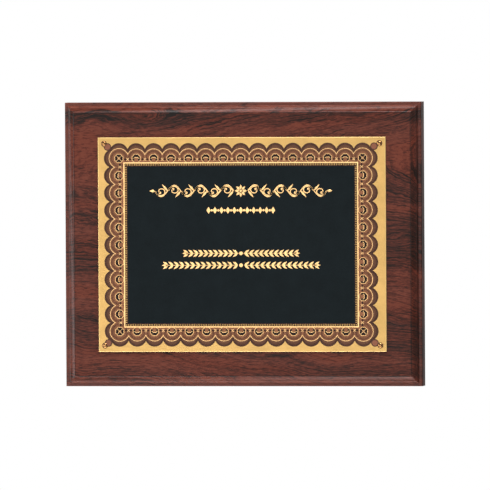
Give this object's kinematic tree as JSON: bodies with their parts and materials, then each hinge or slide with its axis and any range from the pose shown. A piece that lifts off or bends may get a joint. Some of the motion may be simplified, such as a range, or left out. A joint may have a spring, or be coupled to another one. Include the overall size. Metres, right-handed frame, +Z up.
{
  "type": "wooden award plaque",
  "caption": "Rectangular walnut wall plaque with a moulded front edge, a pinned brass engraving plate and recessed keyhole hangers in its back.",
  "frame": {"origin": "centre of the flat back, which lies against the wall", "axes": "+Y into the wall, so the plate faces -Y; +Z up when hung landscape; +X to the right seen from the front"},
  "size_m": [0.254, 0.0208, 0.2],
  "materials": {
    "walnut": "solid walnut, straight grain along the length, satin lacquer",
    "engraved_brass": "satin gold brass with an ornamental border and a black enamelled field",
    "pin_brass": "polished",
    "zinc_steel": "stamped, zinc plated",
    "screw_steel": "yellow zinc plated"
  },
  "bodies": {
    "root": {"walnut_board": "walnut", "brass_plate": "engraved_brass", "plate_pin_top_left": "pin_brass", "plate_pin_top_right": "pin_brass", "plate_pin_bottom_left": "pin_brass", "plate_pin_bottom_right": "pin_brass", "keyhole_hanger_landscape": "zinc_steel", "keyhole_hanger_portrait": "zinc_steel", "hanger_screw_landscape_upper": "screw_steel", "hanger_screw_landscape_lower": "screw_steel", "hanger_screw_portrait_upper": "screw_steel", "hanger_screw_portrait_lower": "screw_steel"}
  },
  "joints": []
}
